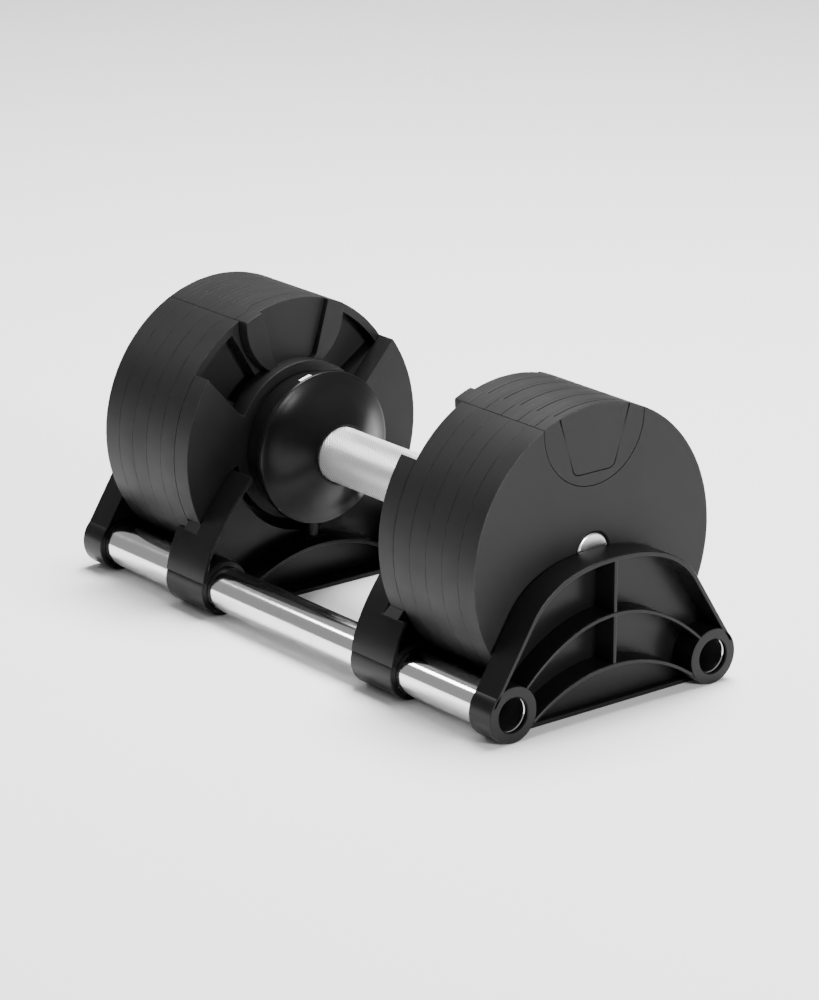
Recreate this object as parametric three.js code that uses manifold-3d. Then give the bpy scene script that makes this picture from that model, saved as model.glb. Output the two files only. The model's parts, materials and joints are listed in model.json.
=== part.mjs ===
// Adjustable dumbbell in its two-rod cradle.
// Millimetres, +Z up, +X along the handle, -Y to the front. The cradle stands on z = 0 and the
// shaft axis lies over the origin. Everything beyond the handle is made on the right-hand side
// (+X) and repeated as a mirror image on the left.

import * as THREE from 'three';
import { mergeVertices } from 'three/addons/utils/BufferGeometryUtils.js';
import Module from 'manifold-3d';

const wasm = await Module();
wasm.setup();

// ---------------------------------------------------------------- clearances
const REST_GAP = 0.3;          // between pieces that touch or are pressed together
const SLIDE_GAP = 0.5;         // radial room round a sliding shaft or pin
const SEAT_GAP = 1.2;          // between the outermost plate and the outer bracket
const CARRY_GAP = 0.7;         // between a plate's rim and the rest under it

// ---------------------------------------------------------------- weight plates
const PLATES_PER_SIDE = 5;
const PLATE_R = 87.5;
const PLATE_PITCH = 14.4;
const PLATE_T = PLATE_PITCH - REST_GAP;
const FIRST_PLATE_X = 106.6;   // inner face of the innermost plate
const RIM_FACETS = 40;

// ---------------------------------------------------------------- interlock at the top of a plate
const KEY_R = 37;              // radius of the U-shaped key
const KEY_Z = PLATE_R - 10.5;  // height of the U's centre over the shaft axis
const KEY_STEP = 5;            // how far a key stands into the next plate
const TONGUE_STEP = 3;         // how far the tongue stands into the next key
const TONGUE_FOOT = 14.5;      // half width of the tongue at its foot
const TONGUE_TOP = 26.5;       // half width of the tongue at the rim
const TONGUE_FOOT_Z = KEY_Z - 29;

// ---------------------------------------------------------------- shaft and handle
const ROD_R = 11.6;            // selector rod
const CORE_WALL = 1.2;         // fixed tube round the selector rods
const CAM_WALL = 1.3;          // turning sleeve with the helical slots
const GRIP_WALL = 2.2;
const CORE_R = ROD_R + REST_GAP + CORE_WALL;
const CAM_R = CORE_R + REST_GAP + CAM_WALL;
const GRIP_R = CAM_R + REST_GAP + GRIP_WALL;
const TURN_DEG = 300;          // turn of the handle from the heaviest to the lightest setting
const TRAVEL = PLATES_PER_SIDE * PLATE_PITCH;
const ROD_END_GAP = 2.5;       // between the middle and a rod that is drawn in
const PIN_R = 1.8;             // follower pin
const PIN_INSET = 4.5;         // pin centre from the rod's inner end
const PIN_FOOT_R = 8;          // depth of the pin's foot in the rod

// ---------------------------------------------------------------- dial, collar and end plate
const END_PLATE_T = 13.6;
const END_PLATE_X = FIRST_PLATE_X - REST_GAP - END_PLATE_T;
const COLLAR_L = 14.9;
const COLLAR_X = END_PLATE_X - COLLAR_L;
const COLLAR_WALL = 3.4;
const DIAL_GAP = 1;            // between the turning dial and the fixed collar
const DIAL_BACK_X = COLLAR_X - DIAL_GAP;
const DIAL_RIM_X = DIAL_BACK_X - 4;
const DIAL_NOSE_X = DIAL_BACK_X - 22.8;
const DIAL_WALL = 4.2;
const EAR_TOP_DEG = 54;        // top end of an ear, from straight up
const EAR_LOW_DEG = 116;       // low end of an ear, from straight up
const EAR_ROOT_DEG = 62;       // where an ear's top edge meets the disc
const EAR_HEEL_DEG = 98;       // where an ear's low edge meets the disc
const POCKET_START_DEG = 31;   // pocket in the first plate, from straight up
const POCKET_LIP = 5;          // rim left over the pocket
const POCKET_OVERLAP = 3;      // how far the pocket runs on behind the end plate's disc
const POCKET_DEPTH = 9.5;
const TOWER_SETBACK = 6.3;     // tower face behind the end plate's face
const TOWER_FACE_X = END_PLATE_X + TOWER_SETBACK;
const TOWER_SOCKET = 3.5;      // depth of the tower's face over its key
const BUSH_T = 3.4;
const BUSH_L = 5;
const NUT_T = 4.6;
const NUT_R = CORE_R + 6.3;

// ---------------------------------------------------------------- turn lock
const LOCK_X = COLLAR_X + 6.2; // middle plane of the lock
const LOCK_T = 3.6;
const LOCK_RING_R = GRIP_R + 6.8;
const NOTCH_DEPTH = 3.8;
const NOTCH_W = 6.4;
const SETTINGS = 6;
const LOCK_DROP = 4;
const TOOTH_W = 5;
const YOKE_R = LOCK_RING_R + 6;
const STEM_W = 8;
const POST_R = 3.8;
const SPRING_WIRE_R = 0.55;
const SPRING_R = 2.4;
const SPRING_TURNS = 3;
const COLLAR_R = YOKE_R + 13;
const DIAL_R = COLLAR_R + 5.2;
const END_DISC_R = COLLAR_R + 7;

// ---------------------------------------------------------------- cradle
const RAIL_R = 13.5;
const RAIL_BORE_R = RAIL_R - 3;
const RAIL_CLEARANCE = 5.1;    // between a plate's rim and a cradle rod
const BOSS_WALL = 3.5;
const BOSS_R = RAIL_R + BOSS_WALL;
const FLOOR_GAP = 4.1;         // between a plate's rim and the surface under the cradle
const SHAFT_Z = PLATE_R + FLOOR_GAP;
const RAIL_REACH = PLATE_R + RAIL_CLEARANCE + RAIL_R;
const RAIL_DROP = SHAFT_Z - BOSS_R;   // rod centre below the shaft axis
const RAIL_Y = Math.sqrt(RAIL_REACH ** 2 - RAIL_DROP ** 2);
const RIB_T = 2.8;
const WEB_T = 3;
const OUTER_DEPTH = 19.3;      // depth of the outer bracket along X
const OUTER_X = FIRST_PLATE_X + TRAVEL + SEAT_GAP;
const OUTER_CROWN = 3;         // top of the outer arch over the shaft axis
const LOW_RIB_TOP = RAIL_DROP - 13.3;  // low arch rib below the shaft axis
const MID_RIB_TOP = RAIL_DROP - 44.1;  // middle arch rib below the shaft axis
const INNER_X = COLLAR_X - 5.3;        // handle side of the inner bracket
const INNER_END_X = FIRST_PLATE_X + 3.9;
const INNER_WEB_GAP = 1.2;     // between the inner bracket's web and the end plate
const INNER_WEB_X = END_PLATE_X - INNER_WEB_GAP;
const SADDLE_R = COLLAR_R + 13;        // cut-out of the inner bracket round the collar
const FOOT_RISE = 6.5;         // widest level of a bracket over the rod centres
const SHOULDER_IN = 14.4;      // shoulder of the outer arch inside the rod centres
const SHOULDER_RISE = 53.6;    // and over them
const CROWN_PULL = 31.4;       // start of the outer arch's level crown inside the rod centres
const SADDLE_TIP_Z = -8;       // top of the inner bracket beside the saddle
const ARM_RISE = 31.6;         // shoulder of the inner bracket over the rod centres
const LEDGE_T = 4;
const REST_RISE = 4.6;         // top of the plate rest over the rod centres
const REST_INSET = 5.4;        // foot of the plate rest inside the rod centres
const REST_SLOPE = 10;         // how much narrower the plate rest is at its top
const ROD_STOP = 3;            // wall of the outer bracket over a cradle rod's end

// ---------------------------------------------------------------- finishes
const finish = (color, roughness, metalness) =>
  new THREE.MeshStandardMaterial({ color, roughness, metalness });
const COATED_STEEL = finish(0x4a4a4c, 0.55, 0.6);
const KEY_STEEL = finish(0x545457, 0.5, 0.6);
const BRIGHT_STEEL = finish(0xc9cacc, 0.3, 0.95);
const CHROME = finish(0xe2e3e5, 0.12, 1.0);
const KNURLED_STEEL = finish(0xbfc0c2, 0.4, 0.9);
const GLOSS_PLASTIC = finish(0x141416, 0.18, 0.0);
const BEARING_PLASTIC = finish(0xd9d4c4, 0.5, 0.0);
const SPRING_STEEL = finish(0x9a9ca0, 0.35, 0.9);

// ---------------------------------------------------------------- solids
const product = new THREE.Group();
const degrees = THREE.MathUtils.degToRad;

function toSolid(geometry) {
  const bare = (geometry.index ? geometry.toNonIndexed() : geometry).clone();
  bare.deleteAttribute('normal');
  bare.deleteAttribute('uv');
  const merged = mergeVertices(bare, 1e-4);
  const corners = [];
  for (let i = 0; i < merged.index.count; i += 3) {
    const [a, b, c] = [merged.index.getX(i), merged.index.getX(i + 1), merged.index.getX(i + 2)];
    if (a !== b && b !== c && a !== c) corners.push(a, b, c);
  }
  const position = merged.attributes.position;
  if (signedVolume(position, corners) < 0) corners.reverse();
  return new wasm.Manifold(new wasm.Mesh({
    numProp: 3,
    vertProperties: Float32Array.from(position.array),
    triVerts: Uint32Array.from(corners),
  }));
}

function signedVolume(position, corners) {
  const [a, b, c] = [new THREE.Vector3(), new THREE.Vector3(), new THREE.Vector3()];
  let sum = 0;
  for (let i = 0; i < corners.length; i += 3) {
    a.fromBufferAttribute(position, corners[i]);
    b.fromBufferAttribute(position, corners[i + 1]);
    c.fromBufferAttribute(position, corners[i + 2]);
    sum += a.dot(b.cross(c));
  }
  return sum;
}

function toGeometry(solid) {
  const mesh = solid.getMesh();
  const geometry = new THREE.BufferGeometry();
  geometry.setAttribute('position', new THREE.BufferAttribute(mesh.vertProperties.slice(), 3));
  geometry.setIndex(new THREE.BufferAttribute(mesh.triVerts.slice(), 1));
  return geometry;
}

function mirrored(geometry) {
  const copy = geometry.clone().scale(-1, 1, 1);
  copy.setIndex(Array.from(copy.index.array).reverse());
  return copy;
}

function place(name, geometry, material) {
  geometry.computeVertexNormals();
  const mesh = new THREE.Mesh(geometry, material);
  mesh.name = name;
  mesh.position.z = SHAFT_Z;
  product.add(mesh);
}

function single(name, solid, material) {
  place(name, toGeometry(solid), material);
}

function pair(name, solid, material, suffix = '') {
  const right = toGeometry(solid);
  place(`${name}_left${suffix}`, mirrored(right), material);
  place(`${name}_right${suffix}`, right, material);
}

// A ring or disc turned about the shaft axis: profile of [radius, x] points.
function turned(profile, segments = 24) {
  const points = profile.map(([r, x]) => new THREE.Vector2(r, x));
  if (profile[0][0] > 0) points.push(points[0].clone());
  const geometry = new THREE.LatheGeometry(points, segments);
  geometry.rotateZ(-Math.PI / 2);
  return toSolid(geometry);
}

function tube(outer, inner, from, to, segments = 24) {
  return turned([[inner, from], [outer, from], [outer, to], [inner, to]], segments);
}

function bar(radius, from, to, segments = 24) {
  return turned([[0, from], [radius, from], [radius, to], [0, to]], segments);
}

// A bar along X whose axis stands at y, z.
function sideBar(radius, from, to, y, z, segments = 20) {
  return bar(radius, from, to, segments).translate([0, y, z]);
}

// An upright bar or tube at x, y.
function upright(radius, from, to, x, y = 0, segments = 12) {
  const geometry = new THREE.CylinderGeometry(radius, radius, to - from, segments);
  geometry.rotateX(Math.PI / 2);
  geometry.translate(x, y, (from + to) / 2);
  return toSolid(geometry);
}

function block(x0, x1, y0, y1, z0, z1) {
  const geometry = new THREE.BoxGeometry(x1 - x0, y1 - y0, z1 - z0);
  geometry.translate((x0 + x1) / 2, (y0 + y1) / 2, (z0 + z1) / 2);
  return toSolid(geometry);
}

// A flat outline in the (y, z) plane, made thick along X.
function slab(shape, from, to, curveSegments = 8) {
  const geometry = new THREE.ExtrudeGeometry(shape, {
    depth: to - from, bevelEnabled: false, curveSegments,
  });
  geometry.applyMatrix4(new THREE.Matrix4().makeBasis(
    new THREE.Vector3(0, 1, 0), new THREE.Vector3(0, 0, 1), new THREE.Vector3(1, 0, 0),
  ));
  geometry.translate(from, 0, 0);
  return toSolid(geometry);
}

function polygon(points) {
  return new THREE.Shape(points.map(([y, z]) => new THREE.Vector2(y, z)));
}

const sum = (solids) => solids.reduce((all, next) => all.add(next));
const onRim = (deg, radius = PLATE_R) =>
  [radius * Math.sin(degrees(deg)), radius * Math.cos(degrees(deg))];

// ---------------------------------------------------------------- interlock shapes
function keyBlock(from, to, room = 0) {
  const r = KEY_R + room;
  const shape = new THREE.Shape();
  shape.moveTo(-r, PLATE_R + 5);
  shape.lineTo(-r, KEY_Z);
  shape.absarc(0, KEY_Z, r, Math.PI, 2 * Math.PI, false);
  shape.lineTo(r, PLATE_R + 5);
  return slab(shape, from, to, 9);
}

function tongueBlock(from, to, room = 0) {
  const slope = (TONGUE_TOP - TONGUE_FOOT) / (PLATE_R - TONGUE_FOOT_Z);
  const top = PLATE_R + 5;
  const topHalf = TONGUE_TOP + slope * 5 + room;
  const footHalf = TONGUE_FOOT + room;
  const foot = TONGUE_FOOT_Z - room;
  return slab(polygon([
    [-topHalf, top], [-footHalf, foot + 2], [-footHalf + 3, foot],
    [footHalf - 3, foot], [footHalf, foot + 2], [topHalf, top],
  ]), from, to);
}

const rimOf = (from, to) => bar(PLATE_R, from, to, RIM_FACETS);

// ---------------------------------------------------------------- plates and their keys
function plateSolid(x0, withPockets) {
  const x1 = x0 + PLATE_T;
  const bore = ROD_R + SLIDE_GAP;
  let plate = rimOf(x0, x1).subtract(bar(bore, x0 - 1, x1 + 1));
  plate = plate.subtract(keyBlock(x0 - 1, x1 + 1, REST_GAP));
  if (withPockets) {
    for (const side of [-1, 1]) plate = plate.subtract(shadowPocket(x0, side));
  }
  return plate;
}

// Pocket in the innermost plate between the tower and an ear of the end plate.
function shadowPocket(x0, side) {
  const [low, high] = [END_DISC_R - POCKET_OVERLAP, PLATE_R - POCKET_LIP];
  const [start, end] = [POCKET_START_DEG, EAR_TOP_DEG + 2];
  const arc = (radius, from, to) => Array.from({ length: 5 }, (_, i) =>
    onRim(side * (from + (to - from) * i / 4), radius));
  const outline = [...arc(high, start, end), ...arc(low, end, start)];
  if (side > 0) outline.reverse();
  return slab(polygon(outline), x0 - 1, x0 + POCKET_DEPTH);
}

function keySolid(x0, outermost) {
  const x1 = x0 + PLATE_T;
  const face = outermost ? x1 : x1 + KEY_STEP;
  let key = keyBlock(x0 + KEY_STEP, face).intersect(rimOf(x0, x1 + KEY_STEP + 1));
  if (!outermost) {
    const tongue = tongueBlock(face - 1, face + TONGUE_STEP);
    key = key.add(tongue.intersect(rimOf(x0, face + TONGUE_STEP + 1)));
  }
  return key.subtract(tongueBlock(x0, x0 + KEY_STEP + TONGUE_STEP + REST_GAP, REST_GAP));
}

function makePlates() {
  for (let i = 0; i < PLATES_PER_SIDE; i += 1) {
    const x0 = FIRST_PLATE_X + i * PLATE_PITCH;
    const outermost = i === PLATES_PER_SIDE - 1;
    pair('weight_plate', plateSolid(x0, i === 0), COATED_STEEL, `_${i + 1}`);
    pair('plate_key', keySolid(x0, outermost), KEY_STEEL, `_${i + 1}`);
  }
}

// ---------------------------------------------------------------- end plate and its parts
function earShape(side) {
  const rim = Array.from({ length: 9 }, (_, i) =>
    onRim(side * (EAR_TOP_DEG + (EAR_LOW_DEG - EAR_TOP_DEG) * i / 8)));
  const outline = [
    ...rim, onRim(side * EAR_HEEL_DEG, END_DISC_R + 2), onRim(side * EAR_HEEL_DEG, END_DISC_R - 5),
    onRim(side * EAR_ROOT_DEG, END_DISC_R - 5), onRim(side * EAR_ROOT_DEG, END_DISC_R + 4),
  ];
  if (side > 0) outline.reverse();
  return polygon(outline);
}

const SCREW_Y = COLLAR_R - 8;
const SCREW_R = 1.9;
const SCREW_HEAD_R = 3.8;
const SCREW_HEAD_T = 2.6;
const END_PLATE_OUT = END_PLATE_X + END_PLATE_T;

function endPlateSolid() {
  const towerOut = FIRST_PLATE_X + KEY_STEP - REST_GAP;
  const tower = keyBlock(TOWER_FACE_X, towerOut).intersect(rimOf(TOWER_FACE_X - 1, towerOut + 1));
  const bushRoom = GRIP_R + REST_GAP + BUSH_T + REST_GAP;
  const solid = sum([
    bar(END_DISC_R, END_PLATE_X, END_PLATE_OUT, 32),
    slab(earShape(-1), END_PLATE_X, END_PLATE_OUT),
    slab(earShape(1), END_PLATE_X, END_PLATE_OUT),
    block(TOWER_FACE_X, END_PLATE_OUT, -TONGUE_FOOT, TONGUE_FOOT, 0, KEY_Z),
    tower,
    tube(bushRoom + 4, bushRoom, END_PLATE_X - BUSH_L - REST_GAP, END_PLATE_X + 1),
  ]);
  const cuts = [
    bar(CORE_R + REST_GAP, END_PLATE_X - 10, towerOut + 10),
    bar(NUT_R + 1, END_PLATE_OUT - NUT_T - 2 * REST_GAP, towerOut + 10),
    tongueBlock(TOWER_FACE_X + TOWER_SOCKET, towerOut + 1, REST_GAP),
  ];
  for (const side of [-1, 1]) {
    cuts.push(sideBar(SCREW_R + REST_GAP, END_PLATE_X - 1, towerOut, side * SCREW_Y, 0, 10));
    cuts.push(sideBar(SCREW_HEAD_R + REST_GAP, END_PLATE_OUT - SCREW_HEAD_T - 2 * REST_GAP,
      towerOut, side * SCREW_Y, 0, 10));
  }
  return solid.subtract(sum(cuts));
}

function makeEndPlates() {
  const towerOut = FIRST_PLATE_X + KEY_STEP - REST_GAP;
  pair('end_plate', endPlateSolid(), COATED_STEEL);
  const keyFrom = TOWER_FACE_X + TOWER_SOCKET + REST_GAP;
  const towerKey = tongueBlock(keyFrom, towerOut + TONGUE_STEP)
    .intersect(rimOf(keyFrom - 1, towerOut + TONGUE_STEP + 1));
  pair('tower_key', towerKey, KEY_STEEL);
  const nut = bar(NUT_R, END_PLATE_OUT - NUT_T - REST_GAP, END_PLATE_OUT - REST_GAP, 6);
  pair('core_nut', nut.subtract(bar(CORE_R + REST_GAP, 0, OUTER_X)), BRIGHT_STEEL);
  const bushIn = GRIP_R + REST_GAP;
  pair('grip_bush', tube(bushIn + BUSH_T, bushIn, END_PLATE_X - BUSH_L, END_PLATE_X - REST_GAP),
    BEARING_PLASTIC);
  for (const [suffix, side] of [['_front', -1], ['_rear', 1]]) {
    const headFrom = END_PLATE_OUT - SCREW_HEAD_T - REST_GAP;
    const screw = sideBar(SCREW_R, LOCK_X, headFrom + 1, side * SCREW_Y, 0, 8)
      .add(sideBar(SCREW_HEAD_R, headFrom, END_PLATE_OUT - REST_GAP, side * SCREW_Y, 0, 10));
    pair('collar_screw', screw, BRIGHT_STEEL, suffix);
  }
}

// ---------------------------------------------------------------- dial and collar
function dialSolid() {
  const bore = GRIP_R + REST_GAP;
  const sleeve = bore + DIAL_WALL;
  const outside = [
    [bore, DIAL_NOSE_X], [bore + 3, DIAL_NOSE_X + 0.6], [DIAL_R - 18.2, DIAL_RIM_X - 12],
    [DIAL_R - 10.2, DIAL_RIM_X - 6.9],
    [DIAL_R - 1.8, DIAL_RIM_X - 2.4], [DIAL_R, DIAL_RIM_X], [DIAL_R - 0.6, DIAL_BACK_X - 2],
    [DIAL_R - 3.2, DIAL_BACK_X],
  ];
  const inside = [
    [DIAL_R - 6, DIAL_BACK_X], [DIAL_R - 12.2, DIAL_RIM_X - 2.7], [DIAL_R - 20.2, DIAL_RIM_X - 7.8],
    [sleeve, DIAL_BACK_X], [bore, DIAL_BACK_X],
  ];
  return turned([...outside, ...inside], 28);
}

function collarSolid() {
  const bore = GRIP_R + 1.2;
  const inside = COLLAR_R - COLLAR_WALL;
  const back = END_PLATE_X - REST_GAP;
  let collar = turned([
    [bore, COLLAR_X], [COLLAR_R - 1, COLLAR_X], [COLLAR_R, COLLAR_X + 1], [COLLAR_R, back],
    [inside, back], [inside, COLLAR_X + 2.8], [bore, COLLAR_X + 2.8],
  ], 28);
  for (const side of [-1, 1]) {
    collar = collar.add(sideBar(SCREW_R + 2.1, COLLAR_X + 1, back, side * SCREW_Y, 0, 8)
      .intersect(bar(inside + 1, COLLAR_X, back)));
    collar = collar.subtract(sideBar(SCREW_R + REST_GAP, LOCK_X - REST_GAP, back + 1,
      side * SCREW_Y, 0, 8));
  }
  const room = SLIDE_GAP;
  return collar.subtract(block(LOCK_X - LOCK_T / 2 - room, LOCK_X + LOCK_T / 2 + room,
    -STEM_W / 2 - room, STEM_W / 2 + room, -COLLAR_R - 2, -inside + 2));
}

// ---------------------------------------------------------------- handle, cam and rods
// Helical slot in the cam sleeve: one pin travel for the whole turn of the handle.
class SlotPath extends THREE.Curve {
  getPoint(t, target = new THREE.Vector3()) {
    const overrun = (PIN_R + SLIDE_GAP) / TRAVEL;
    const s = -overrun + t * (1 + 2 * overrun);
    const angle = degrees(TURN_DEG) * s;
    const x = PIN_REST_X - TRAVEL * s;
    const r = CAM_R - CAM_WALL / 2;
    return target.set(x, -r * Math.sin(angle), r * Math.cos(angle));
  }
}

const ROD_INNER_X = TRAVEL + ROD_END_GAP;
const ROD_OUTER_X = FIRST_PLATE_X + TRAVEL - REST_GAP;
const PIN_REST_X = ROD_INNER_X + PIN_INSET;
const PIN_IN_X = PIN_REST_X - TRAVEL;
const GRIP_END_X = END_PLATE_X - 1;
const CORE_END_X = END_PLATE_OUT - REST_GAP;

function circleShape(radius, segments) {
  return polygon(Array.from({ length: segments }, (_, i) => {
    const a = 2 * Math.PI * i / segments;
    return [radius * Math.cos(a), radius * Math.sin(a)];
  }));
}

function makeHandle() {
  const slot = toSolid(new THREE.ExtrudeGeometry(circleShape(PIN_R + SLIDE_GAP, 8), {
    steps: 15, bevelEnabled: false, extrudePath: new SlotPath(),
  }));
  const camEnd = GRIP_END_X - 3;
  const slots = slot.add(toSolid(mirrored(toGeometry(slot))));
  const cam = tube(CAM_R, CAM_R - CAM_WALL, -camEnd, camEnd).subtract(slots);
  single('cam_sleeve', cam, BRIGHT_STEEL);
  single('grip_tube', tube(GRIP_R, GRIP_R - GRIP_WALL, -GRIP_END_X, GRIP_END_X, 32),
    KNURLED_STEEL);

  const half = PIN_R + SLIDE_GAP;
  let core = tube(CORE_R, CORE_R - CORE_WALL, -CORE_END_X, CORE_END_X);
  for (const side of [-1, 1]) {
    const ends = [side * (PIN_IN_X - half), side * (PIN_REST_X + half)].sort((a, b) => a - b);
    core = core.subtract(block(ends[0], ends[1], -half, half, 0, CORE_R + 2));
  }
  single('core_tube', core, BRIGHT_STEEL);

  const rod = turned([
    [0, ROD_INNER_X], [ROD_R - 1, ROD_INNER_X], [ROD_R, ROD_INNER_X + 1],
    [ROD_R, ROD_OUTER_X - 2.2], [ROD_R - 1.6, ROD_OUTER_X - 0.6], [0, ROD_OUTER_X],
  ]);
  const socket = upright(PIN_R + REST_GAP, PIN_FOOT_R - REST_GAP, ROD_R + 2, PIN_REST_X, 0, 16);
  pair('selector_rod', rod.subtract(socket), BRIGHT_STEEL);
  pair('follower_pin', upright(PIN_R, PIN_FOOT_R, CAM_R - REST_GAP / 2, PIN_REST_X, 0, 16),
    BRIGHT_STEEL);

  pair('dial', dialSolid(), GLOSS_PLASTIC);
  pair('collar', collarSolid(), GLOSS_PLASTIC);
}

// ---------------------------------------------------------------- turn lock
function stadium(radius, low, high) {
  const shape = new THREE.Shape();
  shape.absarc(0, low, radius, Math.PI, 2 * Math.PI, false);
  shape.absarc(0, high, radius, 0, Math.PI, false);
  return shape;
}

class CoilPath extends THREE.Curve {
  constructor(low, high) {
    super();
    this.low = low;
    this.high = high;
  }

  getPoint(t, target = new THREE.Vector3()) {
    const angle = 2 * Math.PI * SPRING_TURNS * t;
    const z = this.low + (this.high - this.low) * t;
    return target.set(LOCK_X + SPRING_R * Math.cos(angle), SPRING_R * Math.sin(angle), z);
  }
}

function makeLock() {
  const x0 = LOCK_X - LOCK_T / 2;
  const x1 = LOCK_X + LOCK_T / 2;
  let ring = tube(LOCK_RING_R, GRIP_R + REST_GAP, x0, x1, 24);
  for (let i = 0; i < SETTINGS; i += 1) {
    const notch = block(x0 - 1, x1 + 1, -NOTCH_W / 2, NOTCH_W / 2, LOCK_RING_R - NOTCH_DEPTH,
      LOCK_RING_R + 2);
    ring = ring.subtract(notch.rotate([i * 360 / SETTINGS, 0, 0]));
  }
  pair('lock_ring', ring, BRIGHT_STEEL);

  const windowR = LOCK_RING_R + 1.2;
  const raise = 3;
  const stemTop = -YOKE_R + 2;
  const stemFoot = -COLLAR_R;
  const toothTip = LOCK_RING_R + 0.8;
  const yoke = slab(stadium(YOKE_R, 0, raise), x0, x1, 8)
    .subtract(slab(stadium(windowR, 0, LOCK_DROP), x0 - 1, x1 + 1, 8))
    .add(block(x0, x1, -TOOTH_W / 2, TOOTH_W / 2, toothTip, YOKE_R))
    .add(block(x0, x1, -STEM_W / 2, STEM_W / 2, stemFoot, stemTop));
  pair('lock_yoke', yoke, BRIGHT_STEEL);

  const springLow = YOKE_R + raise + SPRING_WIRE_R + REST_GAP;
  const reach = SPRING_R + SPRING_WIRE_R;
  const springHigh = Math.sqrt((COLLAR_R - COLLAR_WALL) ** 2 - reach ** 2) - SPRING_WIRE_R - SLIDE_GAP;
  const spring = toSolid(new THREE.ExtrudeGeometry(circleShape(SPRING_WIRE_R, 5), {
    steps: 8 * SPRING_TURNS, bevelEnabled: false, extrudePath: new CoilPath(springLow, springHigh),
  }));
  pair('lock_spring', spring, SPRING_STEEL);

  const ribTop = -LOW_RIB_TOP;
  const footZ = ribTop + REST_GAP;
  const post = upright(POST_R, footZ, stemFoot - REST_GAP, LOCK_X)
    .add(block(LOCK_X - POST_R, LOCK_X + POST_R, -2 * POST_R, 2 * POST_R, footZ, footZ + 2));
  pair('release_post', post, GLOSS_PLASTIC);
}

// ---------------------------------------------------------------- cradle
// Outline points of an arch from the rear foot over the crown to the front foot.
function arch(crown, control, shoulder, feet = []) {
  const curve = new THREE.QuadraticBezierCurve(
    new THREE.Vector2(shoulder[0], shoulder[1]), new THREE.Vector2(control[0], control[1]),
    new THREE.Vector2(0, crown),
  );
  const rear = [...feet, ...curve.getPoints(5).map((p) => [p.x, p.y])];
  const front = rear.slice(0, -1).reverse().map(([y, z]) => [-y, z]);
  return [...rear, ...front];
}

// A rib of the given thickness whose top follows an arch.
function archRib(top, thickness, from, to) {
  const under = top.map(([y, z]) => [y, z - thickness]);
  return slab(polygon([...top, ...under.reverse()]), from, to);
}

const LOW_RIB = arch(
  -LOW_RIB_TOP, [RAIL_Y - 43.4, -LOW_RIB_TOP], [RAIL_Y - 15.4, -LOW_RIB_TOP - 20],
);

function bosses(from, to) {
  return [-1, 1].map((side) => sideBar(BOSS_R, from, to, side * RAIL_Y, -RAIL_DROP, 20));
}

function railBores(from, to, radius = RAIL_R + REST_GAP) {
  return sum([-1, 1].map((side) => sideBar(radius, from, to, side * RAIL_Y, -RAIL_DROP, 20)));
}

function outerArchTop(inset) {
  const foot = [RAIL_Y + BOSS_R - 1.6 - inset, FOOT_RISE - RAIL_DROP];
  const control = [RAIL_Y - CROWN_PULL - inset * 0.6, OUTER_CROWN - inset];
  const shoulder = [
    RAIL_Y - SHOULDER_IN - inset * 0.8, SHOULDER_RISE - RAIL_DROP - inset * 0.6,
  ];
  return arch(OUTER_CROWN - inset, control, shoulder, [foot]);
}

function outerBracketSolid() {
  const [x0, x1] = [OUTER_X, OUTER_X + OUTER_DEPTH];
  const floor = -SHAFT_Z;
  const outside = outerArchTop(0);
  const inside = outerArchTop(RIB_T);
  const middle = outerArchTop(RIB_T / 2);
  const footHalf = RAIL_Y - RIB_T;
  const body = slab(polygon([...middle, [-footHalf, floor], [footHalf, floor]]), x0, x0 + WEB_T);
  const flange = slab(polygon([...outside, ...inside.reverse()]), x0, x1);
  const midTop = arch(
    -MID_RIB_TOP, [RAIL_Y - 41.4, -MID_RIB_TOP], [RAIL_Y - 9.4, -MID_RIB_TOP - 30],
  );
  const solid = sum([
    body,
    flange,
    archRib(midTop, RIB_T - 0.4, x0, x1),
    archRib(LOW_RIB, RIB_T - 0.4, x0, x1),
    block(x0, x1 - 0.6, -RIB_T / 2, RIB_T / 2, -LOW_RIB_TOP - 1, OUTER_CROWN - 1),
    block(x0, x0 + WEB_T + 5, -footHalf, footHalf, floor, floor + RIB_T),
    ...bosses(x0, x1),
  ]);
  return solid
    .subtract(railBores(x0 - 1, x1 - ROD_STOP))
    .subtract(railBores(x0, x1 + 1, RAIL_BORE_R));
}

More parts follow.
